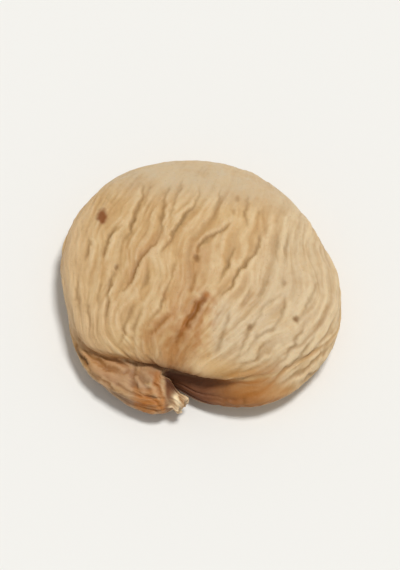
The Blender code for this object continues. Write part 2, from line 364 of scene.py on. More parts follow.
# The creases that the photograph shows on the upper face: points (across, up the view) in mm, depth and half width.
CREASES = [
    ([(-11.4, 17.5), (-11.6, 15.2), (-12.6, 12.3), (-13.6, 10.0), (-14.0, 7.8), (-15.0, 6.0)], 0.42, 0.34),
    ([(-6.0, 17.2), (-7.0, 15.5), (-7.3, 13.2), (-7.7, 10.6), (-8.0, 8.3), (-8.4, 6.6)], 0.30, 0.34),
    ([(-8.3, 6.8), (-9.0, 5.5), (-9.9, 4.9), (-11.0, 4.0), (-12.1, 2.2), (-12.9, 0.5), (-13.7, -1.7), (-14.6, -2.7),
      (-15.6, -3.6)], 0.62, 0.34),
    ([(-0.4, 16.6), (-0.8, 14.6), (-2.1, 12.6), (-3.1, 11.5), (-4.1, 9.8), (-5.6, 7.8), (-6.0, 6.6), (-7.3, 4.8),
      (-8.0, 3.5)], 0.44, 0.34),
    ([(-15.6, 9.5), (-17.2, 7.8), (-18.2, 6.0), (-19.0, 4.0), (-19.6, 3.2)], 0.46, 0.34),
    ([(-21.6, 7.2), (-21.9, 4.9), (-22.7, 2.3)], 0.34, 0.34),
    ([(5.8, 9.9), (3.8, 8.4), (1.8, 7.3), (0.6, 6.3), (-0.5, 5.2), (-1.0, 3.2)], 0.55, 0.32),
    ([(11.4, 7.9), (10.9, 5.2), (10.1, 3.5), (8.9, 2.3), (7.4, 0.6), (6.4, -1.1), (5.8, -2.6), (4.6, -3.6),
      (3.4, -4.6)], 0.60, 0.34),
    ([(7.0, 5.0), (5.9, 4.0), (5.2, 2.2), (4.5, 0.6), (3.8, -0.6), (2.9, -2.1)], 0.42, 0.32),
    ([(1.6, -3.0), (0.3, -4.6), (-0.7, -6.0), (-1.6, -7.7), (-3.0, -9.7), (-3.9, -11.4), (-4.6, -12.9),
      (-5.1, -14.2)], 0.60, 0.45),
    ([(-5.2, -7.6), (-7.3, -9.1), (-8.4, -10.3), (-10.2, -12.0)], 0.38, 0.40),
    ([(-16.6, 0.8), (-17.7, -2.3), (-18.0, -4.0), (-18.2, -6.3), (-18.3, -8.6)], 0.36, 0.34),
    ([(-19.2, -1.4), (-19.9, -4.0), (-20.2, -6.6)], 0.20, 0.34),
    ([(-12.4, -5.7), (-13.3, -6.8), (-13.9, -8.3), (-14.7, -10.3), (-15.1, -12.3), (-15.8, -14.0)], 0.30, 0.34),
    ([(-11.0, -6.6), (-12.1, -8.3), (-12.7, -10.0), (-13.2, -13.2)], 0.24, 0.34),
    ([(-6.1, -1.1), (-6.6, -2.8), (-7.1, -4.6), (-7.9, -6.3), (-8.7, -7.7), (-9.9, -8.8)], 0.36, 0.34),
    ([(-4.9, 2.8), (-5.3, 0.3), (-5.6, -1.4)], 0.22, 0.34),
    ([(-1.2, 0.6), (-1.6, -2.0), (-2.0, -4.0)], 0.24, 0.34),
    ([(-9.6, 18.0), (-10.7, 15.5), (-11.4, 12.6)], 0.14, 0.34),
    ([(-3.6, 18.6), (-4.4, 16.1), (-5.3, 13.8), (-5.7, 11.8), (-6.1, 9.2)], 0.20, 0.34),
    ([(9.3, 15.2), (8.8, 12.6), (8.6, 10.6), (9.3, 9.2)], 0.24, 0.34),
    ([(12.6, 12.6), (11.2, 11.8), (10.5, 10.2)], 0.16, 0.34),
    ([(15.0, 8.2), (14.7, 4.9), (14.4, 2.6)], 0.18, 0.34),
    ([(17.0, 8.0), (16.4, 4.3), (16.2, 1.2)], 0.16, 0.34),
    ([(3.8, 16.6), (3.3, 14.1), (2.3, 11.8), (1.6, 9.8)], 0.20, 0.34),
    ([(16.4, -3.6), (15.8, -6.3), (15.2, -8.3), (14.4, -9.7), (13.5, -10.9), (12.1, -11.4), (10.6, -12.3),
      (9.4, -13.8), (8.4, -15.6)], 0.36, 0.36),
    ([(15.8, -3.7), (13.6, -5.2), (12.1, -6.3), (11.1, -7.9), (10.2, -9.3), (9.3, -10.4), (8.4, -12.4), (7.6, -14.6),
      (6.2, -17.2)], 0.30, 0.34),
    ([(22.6, -1.4), (21.2, -4.3), (20.1, -6.3), (19.2, -8.0), (18.4, -9.9)], 0.30, 0.38),
    ([(20.4, -8.9), (19.2, -11.1), (18.1, -12.9), (17.2, -14.6), (15.8, -16.6), (13.6, -18.2)], 0.36, 0.34),
    ([(22.6, -9.9), (20.9, -12.9), (19.5, -15.1), (18.1, -16.6), (16.4, -18.0), (13.6, -19.6)], 0.32, 0.34),
    ([(13.8, -12.6), (12.1, -13.4), (11.2, -14.8), (10.1, -16.3), (8.1, -17.4), (6.7, -18.4)], 0.34, 0.34),
    ([(5.8, -6.3), (4.9, -8.9), (4.4, -11.1), (3.5, -13.4), (2.8, -15.4)], 0.28, 0.38),
    ([(24.8, -6.0), (23.4, -9.0), (21.6, -11.6)], 0.20, 0.34),
    ([(-23.8, -1.0), (-24.0, -4.5), (-23.2, -8.5)], 0.20, 0.34),
    ([(-21.6, -3.5), (-21.8, -7.0), (-20.8, -10.5)], 0.18, 0.34),
    ([(-10.0, 0.8), (-10.6, -1.4), (-11.6, -3.6)], 0.22, 0.34),
    ([(9.6, -2.2), (8.6, -4.6), (7.4, -6.4)], 0.22, 0.34),
    ([(13.0, -0.6), (12.0, -2.8), (10.4, -5.0)], 0.22, 0.34),
]
RIDGES = [
    ([(24.4, -12.9), (22.7, -15.4), (21.2, -17.4), (19.8, -18.6), (17.5, -19.9)], 0.30, 0.45),
    ([(20.4, -12.9), (18.7, -15.4), (16.9, -16.9), (14.7, -18.3), (12.1, -19.3)], 0.22, 0.42),
    ([(14.7, -14.0), (13.5, -15.4), (11.2, -16.9), (8.9, -18.1), (7.4, -18.9)], 0.24, 0.45),
    ([(26.5, -8.0), (25.8, -11.0), (24.2, -14.0)], 0.24, 0.45),
]
# Below the lip: creases on the neck and the folded-in band, and ridges between them.
NECK_CREASES = [
    ([(-24.6, -12.7), (-22.4, -14.5), (-20.4, -16.3), (-18.6, -17.9), (-16.8, -19.0), (-15.2, -19.8)], 0.52, 0.36),
    ([(-22.6, -16.6), (-20.6, -18.9), (-18.0, -21.2), (-15.4, -23.2), (-12.6, -24.6)], 0.34, 0.36),
    ([(-13.6, -19.8), (-12.5, -21.2), (-11.7, -22.8)], 0.42, 0.32),
    ([(-17.0, -18.2), (-14.8, -18.9), (-12.9, -19.4), (-11.2, -20.6), (-10.2, -22.4)], 0.26, 0.32),
    ([(-19.6, -18.2), (-17.6, -20.2), (-15.2, -21.8), (-13.2, -23.0), (-10.8, -24.0)], 0.30, 0.30),
    ([(-17.2, -22.6), (-14.6, -24.4), (-11.8, -25.4), (-9.2, -26.2)], 0.24, 0.30),
    ([(-10.6, -23.0), (-9.0, -24.4), (-7.4, -25.8)], 0.28, 0.30),
    ([(-9.0, -19.0), (-8.6, -21.0), (-7.8, -23.0), (-6.6, -25.2)], 0.22, 0.28),
    ([(-6.4, -22.8), (-5.9, -24.2), (-5.2, -26.4)], 0.24, 0.28),
]
NECK_RIDGES = [
    ([(-23.4, -12.9), (-21.6, -14.6), (-19.8, -16.0), (-17.6, -17.3), (-15.0, -18.4)], 0.34, 0.42),
    ([(-24.9, -13.4), (-23.2, -15.0), (-21.6, -17.0), (-19.4, -19.2), (-17.0, -21.0)], 0.36, 0.45),
    ([(-10.2, -19.0), (-9.7, -21.2), (-8.7, -23.2), (-7.4, -24.8)], 0.20, 0.50),
]
BAND_CREASES = [
    ([(1.6, -23.5), (3.2, -24.0), (5.4, -24.2), (8.4, -23.9), (12.0, -23.1)], 0.34, 0.34),
    ([(3.6, -21.7), (7.0, -22.0), (10.6, -21.6), (14.6, -20.2), (18.2, -18.0)], 0.14, 0.32),
    ([(3.0, -22.7), (7.5, -23.0), (12.0, -22.4), (16.4, -20.6)], 0.18, 0.32),
    ([(9.0, -24.6), (13.0, -23.8), (16.8, -22.0), (19.6, -20.0)], 0.20, 0.34),
    ([(6.0, -25.4), (9.6, -25.1), (13.0, -24.3)], 0.16, 0.34),
    ([(24.6, -13.8), (22.6, -16.4), (20.0, -18.5), (17.0, -20.1), (14.4, -21.0)], 0.22, 0.32),
    ([(24.0, -16.4), (21.8, -18.9), (19.0, -20.9)], 0.20, 0.34),
]
BAND_RIDGES = [
    ([(1.6, -24.7), (4.6, -24.9), (8.4, -24.9), (12.6, -24.0), (16.6, -22.4)], 0.24, 0.42),
    ([(23.6, -14.0), (21.4, -16.3), (18.8, -18.1), (15.8, -19.8), (13.0, -20.9)], 0.20, 0.38),
    ([(24.8, -14.8), (22.8, -17.3), (20.2, -19.4), (17.2, -21.0)], 0.20, 0.42),
]


def dense(points, step=0.25):
    p = np.array(points, float)
    p = np.vstack([2 * p[0] - p[1], p, 2 * p[-1] - p[-2]])
    out = []
    for i in range(1, len(p) - 2):
        a, b, c, d = p[i - 1], p[i], p[i + 1], p[i + 2]
        n = max(2, int(np.linalg.norm(c - b) / step))
        t = (np.arange(n) / n)[:, None]
        out.append(0.5 * (2 * b + (c - a) * t + (2 * a - 5 * b + 4 * c - d) * t**2 + (3 * b - a - 3 * c + d) * t**3))
    return np.vstack(out + [p[-2:-1]])


seen = np.flatnonzero((facing > 0.02).ravel())
uv_seen = np.stack([VIEW_U.ravel()[seen], VIEW_V.ravel()[seen]], -1)
uv_seen += np.stack([noise_at(101, 1.7), noise_at(102, 1.7)], -1).reshape(-1, 2)[seen] * 0.12
uv_seen += np.stack([noise_at(103, 0.7), noise_at(104, 0.7)], -1).reshape(-1, 2)[seen] * 0.05


def stroke(points):
    """Signed distance in mm from each point to a stroke, and its share of the way along it."""
    line = dense(points)
    far = np.full(P0.shape[:2], 99.0).ravel()
    share = np.zeros(far.shape)
    near = np.flatnonzero(
        (uv_seen[:, 0] > line[:, 0].min() - 4) & (uv_seen[:, 0] < line[:, 0].max() + 4)
        & (uv_seen[:, 1] > line[:, 1].min() - 4) & (uv_seen[:, 1] < line[:, 1].max() + 4)
    )
    gap = uv_seen[near][:, None, :] - line[None]
    d = np.linalg.norm(gap, axis=-1)
    k = d.argmin(1)
    way = np.gradient(line, axis=0)[k]
    g = gap[np.arange(len(near)), k]
    sign = np.where(way[:, 0] * g[:, 1] - way[:, 1] * g[:, 0] >= 0, 1, -1)
    far[seen[near]] = sign * d[np.arange(len(near)), k]
    share[seen[near]] = k / (len(line) - 1)
    return far.reshape(P0.shape[:2]), share.reshape(P0.shape[:2])


def drawn(creases, ridges, where):
    """(height, line mask) of the creases and ridges on the faces picked by where."""
    h = np.zeros(P0.shape[:2])
    mask = np.zeros(P0.shape[:2])
    for k, (points, depth, width) in enumerate(creases):
        d, share = stroke(points)
        side = 1 if k % 3 else -1
        uneven = 0.86 + 0.14 * np.sin(share * 11 + k)
        taper = np.clip(np.sin(math.pi * np.clip(share, 0.01, 0.99)), 0, 1) ** 0.6 * uneven
        width = 0.86 * width * (0.7 + 0.3 * taper)
        depth = 0.68 * depth
        x = side * d / width
        valley = np.where(x > 0, np.exp(-((np.abs(x) / 1.15) ** 2)), np.exp(-((np.abs(x) / 2.0) ** 1.5)))
        h += depth * taper * (-valley + 0.50 * np.exp(-((x - 2.8) ** 2) / 2.6))
        mask = np.maximum(mask, np.exp(-(((x + 0.2) / 1.1) ** 2)) * taper * min(1, depth / 0.30))
    for points, rise, width in ridges:
        d, share = stroke(points)
        taper = np.clip(np.sin(math.pi * np.clip(share, 0.04, 0.96)), 0, 1) ** 0.5
        h += rise * (bell(d, 0, width) - 0.45 * bell(np.abs(d), 2.1 * width, width)) * taper
    return h * where, mask * where


lower_right = top_face * smooth_step(VIEW_U, 1.0, 8.0) * smooth_step(-VIEW_V, 2.0, 7.0)
side_skin = below_lip * smooth_step(VIEW_U, 11.0, 17.0) * smooth_step(VIEW_V, -23.0, -20.0)
# crease_mask and low_mask mark the drawn creases; the material darkens them as painted shade.
h_creases, crease_mask = drawn(CREASES, RIDGES, top_face * (1 - 0.25 * lower_right))
h_low, low_mask = drawn(NECK_CREASES + BAND_CREASES, NECK_RIDGES + BAND_RIDGES, below_lip)
# Painted highlight: pale lines along the neck's ridge and its right edge.
d, share = stroke([(-10.2, -19.0), (-9.6, -21.2), (-8.4, -23.2), (-7.2, -24.8)])
edge_highlight = 0.15 * bell(d, 0, 1.0) * below_lip
d, share = stroke([(-7.5, -19.4), (-7.3, -21.6), (-6.7, -23.6), (-6.0, -25.0)])
edge_highlight = np.maximum(edge_highlight, 0.40 * bell(d, 0, 0.35) * below_lip)

# Lines along the neck, which close up towards the stem.
NECK_LINE = [(-26.0, -13.2), (-22.2, -16.0), (-17.4, -19.2), (-12.8, -21.6), (-9.4, -23.0), (-6.6, -24.8)]
d, share = stroke(NECK_LINE)
narrow = np.interp(share, [0, 0.25, 0.6, 0.8, 1], [1.5, 1.1, 0.9, 1.1, 1.9])
neck_across, neck_along = np.clip(d, -9, 9) * narrow, 24.0 * share
neck_zone = below_lip * (1 - smooth_step(VIEW_U, -9.0, -6.6)) * (np.abs(d) < 90)

PITS = [(-0.9, 3.0, 0.30, 0.62, 1.0), (9.3, -10.3, 0.20, 0.50, 0.8), (18.1, -8.8, 0.28, 0.55, 1.3),
        (7.0, 14.5, 0.10, 0.50, 0.5), (6.2, 12.0, 0.10, 0.50, 0.4), (15.9, -1.8, 0.12, 0.60, 0.5),
        (-16.4, 1.3, 0.22, 0.50, 0.9), (8.3, -24.5, 0.20, 0.45, 0.8)]
h_pits = np.zeros(P0.shape[:2])
pit_mask = np.zeros(P0.shape[:2])
d, share = stroke([(-24.4, -14.0), (-23.9, -15.0), (-23.1, -16.4), (-22.5, -17.4)])
tuck = bell(d, 0, 0.55) * below_lip
h_pits -= 0.5 * tuck
pit_mask = np.maximum(pit_mask, tuck)
uneven = 1 + 0.10 * noise_at(105, 0.6)
for u, v, depth, width, dark in PITS:
    far = np.hypot(VIEW_U - u, 0.8 * (VIEW_V - v)) * uneven
    h_pits -= depth * bell(far, 0, width) * facing
    pit_mask = np.maximum(pit_mask, 0.66 * dark * (1 - smooth_step(far, 0.4 * width, 1.3 * width)) * facing)

quiet = 1 - 0.75 * blurred(crease_mask, 3, 2.5) / max(1e-6, blurred(crease_mask, 3, 2.5).max())
rim = smooth_step(VIEW_V + 0.12 * VIEW_U, 11.5, 18.5) * smooth_step(P0[..., 2], 2.0, 9.5) * smooth_step(N0[..., 2], -0.5, 0.5)
pole = smooth_step(phi, math.radians(150), math.radians(176))

edge = bell(N0[..., 2], 0.1, 0.35)
large = sown(21, 46, (9, 19), (0.22, 0.42), (0.40, 0.55), 0.5, 0.45) * (1 - top_face) * (1 - 0.5 * edge)
long = sown(25, 130, (10, 20), (0.08, 0.17), (0.32, 0.46), 0.08, 0.7) * np.maximum(lower_right, side_skin)
medium = sown(22, 430, (4.5, 12), (0.14, 0.34), (0.26, 0.40), 0.40, 0.38, quiet * (1 - 0.68 * top_face) * (1 - 0.3 * edge) * (1 - 0.5 * lower_right))
small = sown(23, 1800, (3.5, 9.0), (0.05, 0.12), (0.18, 0.27), 0.35, 0.35)
small = small * (1 - top_face * (0.32 + 0.25 * smooth_step(VIEW_U, -14.0, -4.0) + 0.35 * smooth_step(VIEW_U, 4.0, 14.0)))
cross = sown(24, 240, (1.6, 3.4), (0.08, 0.18), (0.24, 0.34), 2.0, 0.30) * (1 - 0.6 * top_face) * (1 - 0.8 * lower_right)
crests = -sown(26, 420, (4, 11), (0.05, 0.11), (0.24, 0.38), 0.3, 0.25) * np.maximum(top_face, side_skin)
sown_height = shifted(large + medium + small + crests, wander) + shifted(long, 0.6 * wander) + cross
soft = 0.17 * np.tanh(shifted(folds(31, 4.2, 7.0), wander)) * (1 - 0.35 * top_face)
soft = soft + 0.085 * np.tanh(shifted(folds(32, 2.0, 5.0), wander)) * (1 - 0.5 * lower_right)
soft = soft + 0.075 * np.tanh(shifted(folds(36, 1.7, 6.0), wander)) * top_face * smooth_step(VIEW_U, 2.0, 12.0)
broad = 0.20 * np.tanh(folds(33, 9.0, 6.0)) + 0.08 * np.tanh(noise_at(34, 5.0))
grain = 0.012 * noise_at(35, 0.9)
strands = unit(Noise(151)(np.stack([neck_across / 0.95, neck_along / 7.0, 0 * neck_along], -1)))
strands = 0.25 * np.tanh(strands) + 0.08 * np.tanh(unit(Noise(152)(np.stack([neck_across / 0.42, neck_along / 5.0, 0 * neck_along], -1))))

# Puckers round the eye.
ring = np.stack([np.cos(lam) * 3.4, np.sin(lam) * 3.4, phi * 2.5], -1)
near_eye = smooth_step(phi, math.radians(142), math.radians(172))
pucker = unit(Noise(93)(ring))
h_eye = 0.45 * ((1 - np.exp(-((pucker / 0.6) ** 2))) - 0.8) * near_eye * (1 - 0.8 * smooth_step(phi, 3.08, 3.14))
h_eye = h_eye - 1.3 * smooth_step(phi, math.radians(173.5), math.radians(178.5))

# Folds down the neck, fibres on the stem, and the dished, ragged cut end.
ring = np.stack([np.cos(lam) * 2.2, np.sin(lam) * 2.2, phi * 1.2], -1)
neck_folds = unit(Noise(91)(ring))
fibres = unit(Noise(111)(np.stack([np.cos(lam) * 6.0, np.sin(lam) * 6.0, phi * 4], -1)))
u = phi / NECK_ARC
h_neck = 0.30 * ((1 - np.exp(-((neck_folds / 0.6) ** 2))) - 0.6) * neck_part * smooth_step(u, 0.27, 0.42)
radius = STEM_R * np.clip(u / 0.14, 0, 1) ** 0.8
face_s, face_t = radius * np.cos(lam), radius * np.sin(lam)
pith = Noise(112)(np.stack([1.7 * face_s, 0.6 * face_t, 0 * lam], -1))
ragged = unit(Noise(113)(np.stack([np.cos(lam) * 1.1, np.sin(lam) * 1.1, 0 * phi], -1)))
ribs = unit(Noise(114)(np.stack([np.cos(lam) * 2.0, np.sin(lam) * 2.0, phi * 1.5], -1)))
h_stem = (0.05 * fibres + 0.13 * np.tanh(ribs)) * smooth_step(u, 0.05, 0.13) * stem_part
h_stem = h_stem + cap_part * (0.7 * pith - 0.35 * (1 - smooth_step(u, 0.0, 0.11)) + 0.22 * ragged * bell(u, 0.12, 0.05))

# Painted highlights: bright streaks on the stem, with one darker streak between them, added to its fibre tone.
shine = np.zeros(P0.shape[:2])
for points, width, strength in [([(-5.0, -23.6), (-4.5, -24.9), (-3.6, -26.8)], 0.42, 0.75), ([(-5.6, -22.5), (-5.3, -23.1)], 0.45, 0.6),
                                ([(-2.9, -23.9), (-2.1, -25.8)], 0.42, 0.35), ([(-4.2, -24.0), (-2.9, -26.4)], 0.30, -0.35)]:
    d, share = stroke(points)
    shine += strength * bell(d, 0, width) * facing

calm = 1 - 0.80 * rim
height = (
    broad * (1 - 0.4 * top_face)
    + (soft + sown_height) * calm * (1 - (0.4 * in_furrow + 0.45 * below_lip) * (1 - side_skin)) * (1 - 0.75 * neck_zone)
    + strands * neck_zone * smooth_step(phi / NECK_ARC, 0.34, 0.5)
    + grain
)
height = height * (1 - stem_part) * (1 - 0.6 * neck_part * smooth_step(1.2 - u, 0, 0.4))
height = height + h_creases + h_low * (1 - stem_part) + h_pits + h_neck + h_eye + h_stem

# Where the neck lies against the body nothing swells outwards.
gap = np.linalg.norm((P0 - np.array([-6.6, -19.0, 4.0])) / np.array([1.1, 1.0, 1.2]), axis=-1)
tight = (1 - smooth_step(gap, 3.0, 5.0)) * smooth_step(u, 0.4, 0.7) * (1 - top_face)
height = np.where(height > 0, height * (1 - tight) * (1 - 0.6 * in_furrow), height * (1 - 0.6 * tight))



def raised(h):
    p = P0 + N0 * h[..., None]
    p[0] = p[1].mean(0)
    p[-1] = p[-2].mean(0)
    p[..., 2] = np.maximum(p[..., 2], 0.0)
    return p


def crossings(p):
    """1 at the points whose faces cut through other faces."""
    at = np.arange(ROWS * COLUMNS).reshape(ROWS, COLUMNS)[1:]
    a, b = at[:-1], at[1:]
    faces = np.stack([a, b, np.roll(b, -1, 1), np.roll(a, -1, 1)], -1).reshape(-1, 4)
    tree = BVHTree.FromPolygons(p[:ROWS].reshape(-1, 3).tolist(), faces.tolist())
    pairs = np.array(tree.overlap(tree), int).reshape(-1, 2)
    pairs = pairs[pairs[:, 0] < pairs[:, 1]]
    apart = np.array([not set(faces[i]) & set(faces[j]) for i, j in pairs], bool)
    hit = np.zeros(P0.shape[:2])
    hit[:ROWS].ravel()[faces[pairs[apart].ravel()].ravel()] = 1
    return hit


P = raised(height)
for _ in range(6):
    hit = crossings(P)
    if not hit.any():
        break
    height = height * (1 - np.clip(30 * blurred(hit, 3, 2.5), 0, 0.6))
    P = raised(height)

# ---------------------------------------------------------------------------------------------------------------
# Masks that the material reads.
# ---------------------------------------------------------------------------------------------------------------
local = height - blurred(height, 4, 3.5)
# groove_shade: where the skin lies lower than round about; the material darkens it there as painted shade, on the neck
# too.
groove_shade = np.clip(-local / 0.14, 0, 1)
# ridge: where the skin stands higher than round about; the material lightens it as painted highlight and makes it a
# little rougher.
ridge = np.clip(local / 0.12, 0, 1)


def blot(points, width, seed):
    d, share = stroke(points)
    edge = 1 + 0.35 * noise_at(seed, 1.6)
    return bell(d, 0, width * np.clip(edge, 0.4, 2)) * facing


stain = np.zeros(P0.shape[:2])
for points, width, strength, seed in [
    ([(0.9, -4.4), (-0.4, -6.0), (-1.5, -8.0), (-2.9, -10.0), (-4.1, -12.0)], 0.95, 1.0, 121),
    ([(-0.8, -6.2), (-2.6, -10.0), (-4.6, -13.4), (-5.4, -16.6)], 2.9, 0.68, 122),
    ([(-4.4, -6.6), (-6.4, -8.8), (-8.2, -10.4), (-10.4, -12.6)], 1.7, 0.56, 123),
    ([(-0.4, -7.0), (-0.6, -10.6), (-1.4, -14.4)], 1.5, 0.66, 124),
    ([(-2.6, -13.6), (-3.6, -17.8)], 2.8, 0.50, 125),
    ([(-0.2, 3.2), (-2.3, -0.5), (-4.5, -4.6)], 3.0, 0.30, 126),
    ([(-8.6, -12.6), (-11.0, -15.5)], 2.8, 0.34, 129),
    ([(-8.0, 7.0), (-12.0, 2.4), (-14.5, -2.4)], 1.6, 0.22, 130),
]:
    stain = np.maximum(stain, strength * blot(points, width, seed))
core = blot([(0.3, -5.2), (-0.7, -6.6), (-1.7, -8.4), (-2.6, -9.8)], 0.72, 133)
core = np.maximum(core, 0.6 * blot([(-4.0, -11.4), (-4.7, -13.0)], 0.6, 134))
orange = blot([(-11.0, -25.0), (-9.0, -24.8), (-7.0, -25.4)], 2.3, 127) * below_lip * smooth_step(u, 0.27, 0.36)
orange = np.maximum(orange, 0.75 * blot([(-8.6, -19.2), (-8.3, -21.4), (-7.8, -23.4)], 0.9, 132) * below_lip)
orange = np.maximum(orange, 0.8 * blot([(-25.4, -14.6), (-24.6, -16.6)], 1.0, 128) * below_lip)
spot = np.hypot((VIEW_U + 19.3) / 1.15, (VIEW_V - 11.1) / 1.65) * (1 + 0.09 * noise_at(131, 0.9))
spot = (1 - smooth_step(spot, 0.45, 1.25)) * facing
# Painted shade: the hollow under the lip and beside the stem is given a dark brown colour.
cavity_shade = below_lip * smooth_step(VIEW_U, -7.3, -6.4) * (1 - smooth_step(VIEW_U, 0.0, 9.5)) * smooth_step(VIEW_V, -28.4, -24.8)
hollow_shade = np.maximum(in_furrow * smooth_step(furrow_depth, 2.4, 5.0) * bell(VIEW_U, -2.5, 6.5), cavity_shade)
shaded = smooth_step(VIEW_V + 0.45 * (VIEW_U + 5.0), -23.1, -21.9) * smooth_step(u, 0.10, 0.16) * facing
hollow_shade = hollow_shade * np.maximum(smooth_step(u, 0.24, 0.34), shaded)
shaded = shaded * smooth_step(VIEW_U, -7.2, -6.4) * below_lip * (1 - smooth_step(u, 0.5, 0.85))
shaded = np.maximum(shaded, 0.6 * below_lip * bell(VIEW_U, -2.0, 3.0) * smooth_step(-VIEW_V, 22.0, 23.2) * smooth_step(u, 0.6, 0.9))
crossing = smooth_step(VIEW_U, 2.0, 6.0) * (1 - smooth_step(VIEW_U, 12.5, 19.0))
# band: the orange-brown band under the lip, partly the skin's own colour and partly painted shade of the furrow.
band = np.maximum(in_furrow, below_lip * smooth_step(VIEW_U, -2.0, 1.0) * (1 - 0.75 * smooth_step(VIEW_U, 9.0, 21.0))) * (1 - 0.6 * neck_part)
band = np.maximum(band, 0.62 * top_face * crossing * (1 - smooth_step(VIEW_V - lip_v, 0.0, 3.2)))
band = band * (1 - 0.88 * side_skin)
# Painted shade: the lower edge of the belly below the band, where it turns under, made darker.
low_band_shade = below_lip * bell(VIEW_U, 5.5, 9.0) * smooth_step(-VIEW_V, 23.0, 24.4) * (1 - neck_part)
lip_shade = top_face * (1 - smooth_step(VIEW_V - lip_v, 0.0, 1.1)) * (1 - smooth_step(VIEW_U, -6.0, -1.0))
streak = np.clip(0.5 + 0.28 * shifted(folds(141, 1.5, 3.5), wander), 0, 1)
# Painted highlight: a pale patch on the upper face just above the lip.
pale_highlight = bell(np.hypot((VIEW_U - 0.1) / 2.2, (VIEW_V + 17.9) / 1.8), 0, 1.0) * top_face
right = smooth_step(VIEW_U - 0.45 * np.clip(VIEW_V + 10, 0, 40), 0.5, 10.0)
right = np.maximum(right, smooth_step(VIEW_U, 0.8, 2.6) * (1 - smooth_step(np.hypot((VIEW_U - 5.0) / 4.4, (VIEW_V + 10.6) / 5.4), 0.55, 1.6))) * top_face
right = np.maximum(right, 0.75 * side_skin)
# Painted light: the left side of the upper face made paler, against the shade it gets from the key light on the right.
left_rim_painted_light = smooth_step(0.42 * np.clip(-4 - VIEW_V, 0, 20) - VIEW_U, 19.0, 26.0)
left_rim_painted_light = np.maximum(left_rim_painted_light, 0.55 * bell(np.hypot((VIEW_U + 19.0) / 4.6, (VIEW_V + 8.0) / 4.0), 0, 1.0)) * facing * (1 - below_lip)
honey = top_face * (1 - smooth_step(VIEW_V - lip_v, 0.6, 4.6)) * smooth_step(VIEW_U, -1.5, 2.0) * (1 - smooth_step(VIEW_U, 9.0, 14.0))
turn = 2 * math.pi * (np.arange(COLUMNS)[None, :] + wander) / COLUMNS
flow = np.stack([15 * np.cos(turn), 15 * np.sin(turn), (along_mm / 5.5)[:, None] + 0 * turn], -1)
along_neck = np.stack([neck_across / 1.2, 40 + 0 * neck_across, neck_along / 5.5], -1)
flow = np.where(neck_zone[..., None] > 0.5, along_neck, flow)

# ---------------------------------------------------------------------------------------------------------------
# The mesh.
# ---------------------------------------------------------------------------------------------------------------
inner = P[1:-1].reshape(-1, 3)
verts = np.vstack([inner, P[0, 0], P[-1, 0]]) * MM
index = np.arange(len(inner)).reshape(ROWS - 1, COLUMNS)
a, b = index[:-1], index[1:]
quads = np.stack([a, b, np.roll(b, -1, 1), np.roll(a, -1, 1)], -1).reshape(-1, 4)
first, last = len(inner), len(inner) + 1
caps = [(first, int(index[0, j]), int(index[0, (j + 1) % COLUMNS])) for j in range(COLUMNS)]
caps += [(last, int(index[-1, (j + 1) % COLUMNS]), int(index[-1, j])) for j in range(COLUMNS)]
mesh = bpy.data.meshes.new("fig_skin")
mesh.from_pydata(verts.tolist(), [], quads.tolist() + caps)
mesh.update()
mesh.shade_smooth()


def put(name, field):
    values = np.concatenate([field[1:-1].ravel(), [field[0].mean()], [field[-1].mean()]]).astype(np.float32)
    mesh.attributes.new(name, "FLOAT", "POINT").data.foreach_set("value", values)


vectors = np.vstack([flow[1:-1].reshape(-1, 3), flow[0].mean(0), flow[-1].mean(0)]).astype(np.float32)
mesh.attributes.new("flow", "FLOAT_VECTOR", "POINT").data.foreach_set("vector", vectors.ravel())


masks = dict(groove_shade=groove_shade, ridge=ridge, crease=np.maximum(crease_mask, low_mask), stain=stain, spot=spot, core=core, pit=pit_mask,
             hollow_shade=hollow_shade, orange=orange, left_rim_painted_light=left_rim_painted_light, band=band, low_band_shade=low_band_shade, lip_shade=lip_shade, rim=rim, pale_highlight=np.maximum(pale_highlight, 0.8 * edge_highlight), right=right, neck=neck_part, honey=honey, shaded=shaded,
             stem=(1 - smooth_step(u, 0.23 + 0.02 * ribs, 0.30 + 0.02 * ribs)) * (1 - 0.92 * shaded), streak=streak, pith=cap_part * (1 - smooth_step(u, 0.03, 0.11)),
             fibre_and_shine=np.clip(0.34 + 0.14 * ribs + 0.10 * fibres + shine, 0, 1))
for name, field in masks.items():
    put(name, field)

fig = bpy.data.objects.new("fig_skin", mesh)
bpy.context.scene.collection.objects.link(fig)

# ---------------------------------------------------------------------------------------------------------------
# Materials.
# ---------------------------------------------------------------------------------------------------------------
def linear(r, g, b):
    return tuple((x / 12.92 if x <= 0.04045 else ((x + 0.055) / 1.055) ** 2.4) for x in (r / 255, g / 255, b / 255)) + (1.0,)


